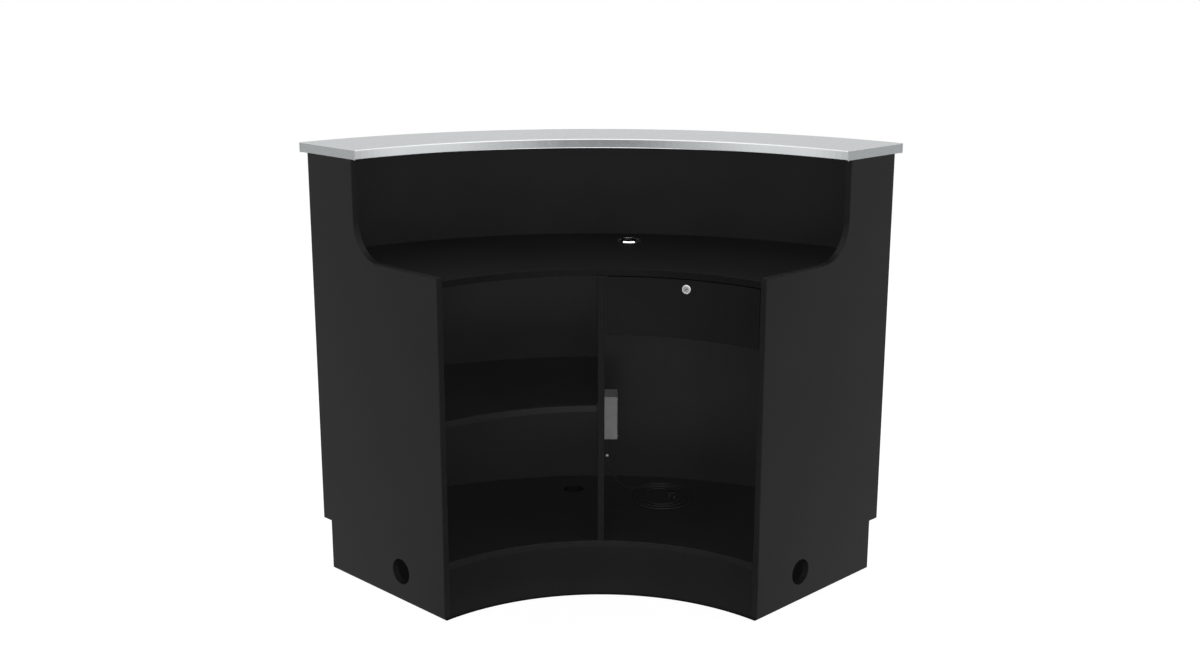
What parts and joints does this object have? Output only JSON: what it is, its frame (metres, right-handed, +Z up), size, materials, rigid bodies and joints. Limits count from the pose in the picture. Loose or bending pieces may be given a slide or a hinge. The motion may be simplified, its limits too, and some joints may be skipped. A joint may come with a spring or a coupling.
{
  "type": "reception desk",
  "caption": "Curved quarter-ring reception desk with raised silver counter, lower staff work surface, shelf bay, lockable drawer and cable holes.",
  "frame": {"origin": "on the floor, under the middle of the desk's bounding box", "axes": "+X to the right as the staff see it from their chair, +Y from the staff side to the customer side, +Z up"},
  "size_m": [1.363, 0.621, 1.012],
  "materials": {
    "black_board": "satin black melamine on particle board",
    "silver_board": "fine brushed silver laminate on board",
    "steel": "zinc-plated steel",
    "bright_metal": "bright chrome plate",
    "supply_case": "grey painted sheet",
    "black_plastic": "moulded black",
    "cord_sheath": "flexible black sheath",
    "white_plastic": "moulded pale grey",
    "plug_metal": "nickel plate"
  },
  "bodies": {
    "carcass": {"base_panel": "black_board", "cord_coil": "cord_sheath", "cord_connector": "white_plastic", "cord_gland": "black_plastic", "cord_lead": "cord_sheath", "cord_plug": "black_plastic", "cord_run": "cord_sheath", "counter_top": "silver_board", "divider": "black_board", "drawer_hanger_left": "black_board", "drawer_hanger_right": "black_board", "driver_cover": "supply_case", "driver_tray": "supply_case", "front_panel": "black_board", "grommet_ring": "bright_metal", "kick_board": "black_board", "left_end_panel": "black_board", "lock_keeper": "steel", "mid_shelf": "black_board", "plug_blades": "plug_metal", "right_end_panel": "black_board", "shelf_pins": "steel", "slide_cabinet_left": "steel", "slide_cabinet_right": "steel", "toe_kick": "black_board", "work_surface": "black_board"},
    "drawer": {"drawer_front": "black_board", "drawer_side_left": "black_board", "drawer_side_right": "black_board", "drawer_bottom": "black_board", "drawer_back": "black_board", "slide_runner_left": "steel", "slide_runner_right": "steel", "lock_barrel": "bright_metal", "lock_nut": "steel"},
    "slide_middle": {"slide_middle_left": "steel", "slide_middle_right": "steel"},
    "lock_core": {"lock_plug": "bright_metal", "lock_cam": "steel", "lock_cam_screw": "steel"}
  },
  "joints": [
    {"name": "drawer_slide", "type": "slide", "parent": "carcass", "child": "drawer", "axis": [-0.3827, -0.9239, 0], "range_m": [0, 0.34]},
    {"name": "slide_middle_run", "type": "slide", "parent": "carcass", "child": "slide_middle", "axis": [-0.3827, -0.9239, 0], "range_m": [0, 0.17]},
    {"name": "lock_turn", "type": "hinge", "parent": "drawer", "child": "lock_core", "pos_m": [0.18384, -0.20145, 0.723], "axis": [-0.3827, -0.9239, 0], "range_deg": [0, 90]}
  ],
  "couplings": [
    {"joint": "slide_middle_run", "follows": "drawer_slide", "ratio": 0.5}
  ]
}
